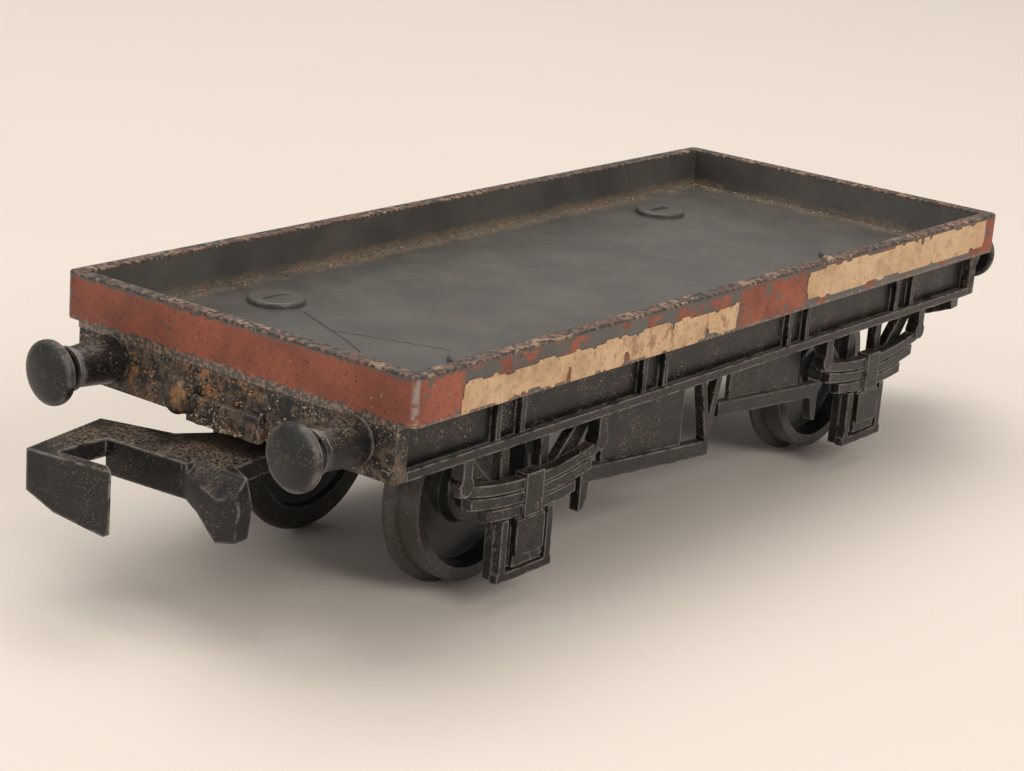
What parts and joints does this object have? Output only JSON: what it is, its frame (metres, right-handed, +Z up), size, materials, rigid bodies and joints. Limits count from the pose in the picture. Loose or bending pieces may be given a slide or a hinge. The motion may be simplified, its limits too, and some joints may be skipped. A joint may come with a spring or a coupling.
{
  "type": "model railway open wagon",
  "caption": "Low-sided four-wheel open wagon for 16.5 mm gauge model track: load tray, solebars, leaf springs, brake gear, buffers, spinning wheelsets and swinging couplers.",
  "frame": {"origin": "Centre of the wagon in plan, at the lowest point of the wheel flanges. The rail top is 0.75 mm above it.", "axes": "+X along the wagon (front end is -X), +Y across it to the left side, +Z up."},
  "size_m": [0.1058, 0.0346, 0.0218],
  "materials": {
    "body_plastic": "dark grey plastic, oxide red worn paint on the outside",
    "underframe_plastic": "dusty black-grey moulded plastic",
    "coupling_plastic": "dusty black-grey moulded plastic",
    "wheel_plastic": "black semi-gloss, grime-brown treads",
    "bright_steel": "dull bright steel",
    "weight_steel": "plain sheared plate",
    "label_paper": null
  },
  "bodies": {
    "wagon": {"axlebox_front_left": "underframe_plastic", "axlebox_front_right": "underframe_plastic", "axlebox_rear_left": "underframe_plastic", "axlebox_rear_right": "underframe_plastic", "axleguard_front_left": "underframe_plastic", "axleguard_front_right": "underframe_plastic", "axleguard_rear_left": "underframe_plastic", "axleguard_rear_right": "underframe_plastic", "ballast_weight": "weight_steel", "body_tray": "body_plastic", "brake_gear_high_left": "underframe_plastic", "brake_gear_high_right": "underframe_plastic", "brake_gear_low_left": "underframe_plastic", "brake_gear_low_right": "underframe_plastic", "buffer_front_left": "underframe_plastic", "buffer_front_right": "underframe_plastic", "buffer_rear_left": "underframe_plastic", "buffer_rear_right": "underframe_plastic", "coupling_rivet_front": "bright_steel", "coupling_rivet_rear": "bright_steel", "drawhook_front": "underframe_plastic", "drawhook_rear": "underframe_plastic", "floor_plug_front_left": "underframe_plastic", "floor_plug_front_right": "underframe_plastic", "floor_plug_rear_left": "underframe_plastic", "floor_plug_rear_right": "underframe_plastic", "headstock_front": "underframe_plastic", "headstock_rear": "underframe_plastic", "leaf_spring_front_left": "underframe_plastic", "leaf_spring_front_right": "underframe_plastic", "leaf_spring_rear_left": "underframe_plastic", "leaf_spring_rear_right": "underframe_plastic", "paper_label_long_left": "label_paper", "paper_label_long_right": "label_paper", "paper_label_short_left": "label_paper", "paper_label_short_right": "label_paper", "solebar_left": "underframe_plastic", "solebar_right": "underframe_plastic", "underframe_pan": "underframe_plastic", "vee_hanger_left": "underframe_plastic", "vee_hanger_right": "underframe_plastic"},
    "wheelset_front": {"axle_front": "bright_steel", "wheel_front_left": "wheel_plastic", "wheel_front_right": "wheel_plastic"},
    "wheelset_rear": {"axle_rear": "bright_steel", "wheel_rear_left": "wheel_plastic", "wheel_rear_right": "wheel_plastic"},
    "coupler_front": {"coupling_front": "coupling_plastic"},
    "coupler_rear": {"coupling_rear": "coupling_plastic"}
  },
  "joints": [
    {"name": "wheelset_front_spin", "type": "hinge", "parent": "wagon", "child": "wheelset_front", "pos_m": [-0.025, 0, 0.0079], "axis": [0, 1, 0], "continuous": true},
    {"name": "wheelset_rear_spin", "type": "hinge", "parent": "wagon", "child": "wheelset_rear", "pos_m": [0.025, 0, 0.0079], "axis": [0, 1, 0], "continuous": true},
    {"name": "coupler_front_swing", "type": "hinge", "parent": "wagon", "child": "coupler_front", "pos_m": [-0.03405, 0, 0.01155], "axis": [0, 0, 1], "range_deg": [-10, 10]},
    {"name": "coupler_rear_swing", "type": "hinge", "parent": "wagon", "child": "coupler_rear", "pos_m": [0.03405, 0, 0.01155], "axis": [0, 0, 1], "range_deg": [-10, 10]}
  ]
}
